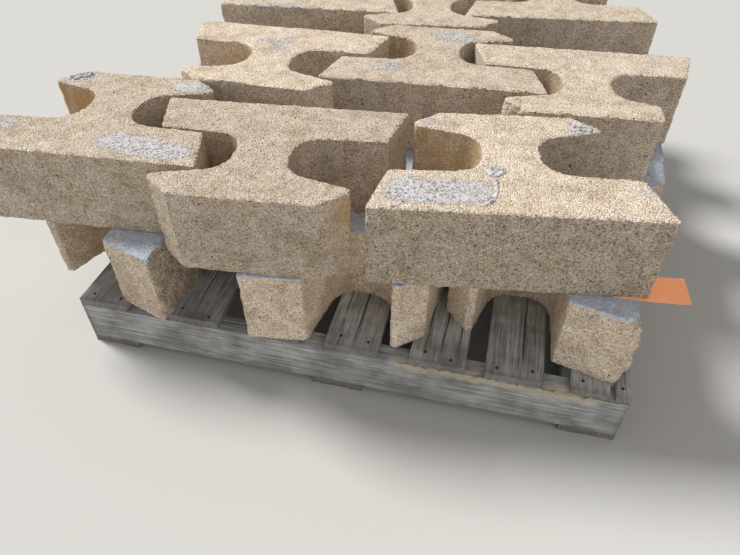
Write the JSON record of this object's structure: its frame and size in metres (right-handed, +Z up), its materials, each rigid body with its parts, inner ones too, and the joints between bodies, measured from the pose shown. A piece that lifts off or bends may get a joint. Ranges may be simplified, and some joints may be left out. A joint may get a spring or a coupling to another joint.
{
  "type": "pallet of concrete blocks",
  "caption": "Two crossed layers of interlocking H-shaped concrete wall blocks stacked on a weathered timber stringer pallet, with a plain card tag between the layers.",
  "frame": {"origin": "centre of the pallet's underside, on the middle bottom board", "axes": "+X along the stringers, +Y along the deck boards away from the near side, +Z up"},
  "size_m": [1.293, 1.2068, 0.4255],
  "materials": {
    "concrete": "cast buff concrete, open sandy face with fine aggregate",
    "softwood": "sawn and weathered grey, cracked along the grain",
    "card": "thin orange tag card, plain"
  },
  "bodies": {
    "root": {"top_block_front_left": "concrete", "top_block_front_middle": "concrete", "top_block_front_right": "concrete", "top_block_middle_left": "concrete", "top_block_middle_centre": "concrete", "top_block_middle_right": "concrete", "top_block_back_left": "concrete", "top_block_back_middle": "concrete", "top_block_back_right": "concrete", "bottom_block_right_front": "concrete", "bottom_block_right_middle": "concrete", "bottom_block_right_back": "concrete", "bottom_block_middle_front": "concrete", "bottom_block_middle_centre": "concrete", "bottom_block_middle_back": "concrete", "bottom_block_left_front": "concrete", "bottom_block_left_middle": "concrete", "bottom_block_left_back": "concrete", "deck_board_1": "softwood", "deck_board_2": "softwood", "deck_board_3": "softwood", "deck_board_4": "softwood", "deck_board_5": "softwood", "deck_board_6": "softwood", "deck_board_7": "softwood", "bottom_board_1": "softwood", "bottom_board_2": "softwood", "bottom_board_3": "softwood", "stringer_1": "softwood", "stringer_2": "softwood", "stringer_3": "softwood", "card_tag": "card"}
  },
  "joints": []
}
